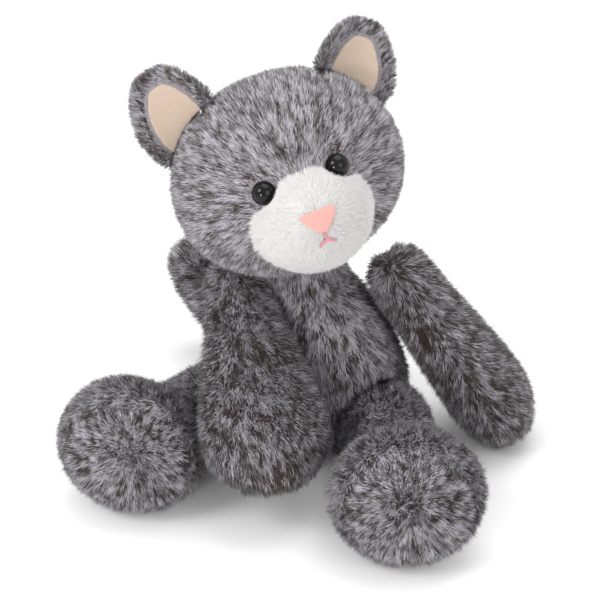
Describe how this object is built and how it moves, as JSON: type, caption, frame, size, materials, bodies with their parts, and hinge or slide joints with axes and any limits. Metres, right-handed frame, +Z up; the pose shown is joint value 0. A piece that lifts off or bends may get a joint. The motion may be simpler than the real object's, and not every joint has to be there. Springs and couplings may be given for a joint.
{
  "type": "plush cat",
  "caption": "Seated plush cat of mottled fur over stuffed forms, with hinged neck, arms, legs and tail.",
  "frame": {"origin": "centre of the flat seat panel, on the surface the cat sits on", "axes": "+Z up, -Y the way the cat's body faces, +X the cat's own left"},
  "size_m": [0.2111, 0.1914, 0.2157],
  "materials": {
    "fur": "long pile, tipped dark",
    "white_fur": "short pile",
    "suede": "brushed suede",
    "pink_velour": "velour",
    "pink_thread": "embroidery thread",
    "eye": "polished",
    "washer": "moulded",
    "stuffing": "polyester fibre",
    "cotton": "plain weave",
    "pellets": "small beads"
  },
  "bodies": {
    "torso": {"back_left": "fur", "back_right": "fur", "belly_left": "fur", "belly_right": "fur", "pellet_pouch": "cotton", "seat_panel": "fur", "seat_pellets": "pellets", "torso_stuffing": "stuffing"},
    "head": {"chin_panel": "fur", "ear_back_left": "fur", "ear_back_right": "fur", "ear_lining_left": "suede", "ear_lining_right": "suede", "eye_left": "eye", "eye_right": "eye", "eye_washer_left": "washer", "eye_washer_right": "washer", "forehead_strip": "fur", "head_side_left": "fur", "head_side_right": "fur", "head_stuffing": "stuffing", "mouth_stitching": "pink_thread", "muzzle_panel": "white_fur", "muzzle_stuffing": "stuffing", "nose_patch": "pink_velour"},
    "arm_left": {"arm_left_stuffing": "stuffing", "arm_left_top": "fur", "arm_left_under": "fur"},
    "arm_right": {"arm_right_stuffing": "stuffing", "arm_right_top": "fur", "arm_right_under": "fur"},
    "leg_left": {"leg_left_inner": "fur", "leg_left_outer": "fur", "leg_left_stuffing": "stuffing", "sole_left": "fur"},
    "leg_right": {"leg_right_inner": "fur", "leg_right_outer": "fur", "leg_right_stuffing": "stuffing", "sole_right": "fur"},
    "tail": {"tail_back": "fur", "tail_front": "fur", "tail_stuffing": "stuffing"}
  },
  "joints": [
    {"name": "neck_tilt", "type": "hinge", "parent": "torso", "child": "head", "pos_m": [-0.009, -0.008, 0.103], "axis": [0, 1, 0], "range_deg": [-4, 20]},
    {"name": "arm_right_raise", "type": "hinge", "parent": "torso", "child": "arm_right", "pos_m": [-0.0356, -0.0208, 0.0911], "axis": [-1, 0, 0], "range_deg": [0, 30]},
    {"name": "arm_left_raise", "type": "hinge", "parent": "torso", "child": "arm_left", "pos_m": [0.0395, 0.004, 0.0912], "axis": [0, -1, 0], "range_deg": [0, 45]},
    {"name": "leg_right_splay", "type": "hinge", "parent": "torso", "child": "leg_right", "pos_m": [-0.0405, -0.0165, 0.021], "axis": [0, 0, -1], "range_deg": [0, 30]},
    {"name": "leg_left_splay", "type": "hinge", "parent": "torso", "child": "leg_left", "pos_m": [0.0381, -0.0203, 0.021], "axis": [0, 0, 1], "range_deg": [0, 25]},
    {"name": "tail_lift", "type": "hinge", "parent": "torso", "child": "tail", "pos_m": [-0.0153, 0.0452, 0.0152], "axis": [0, 1, 0], "range_deg": [0, 25]}
  ]
}
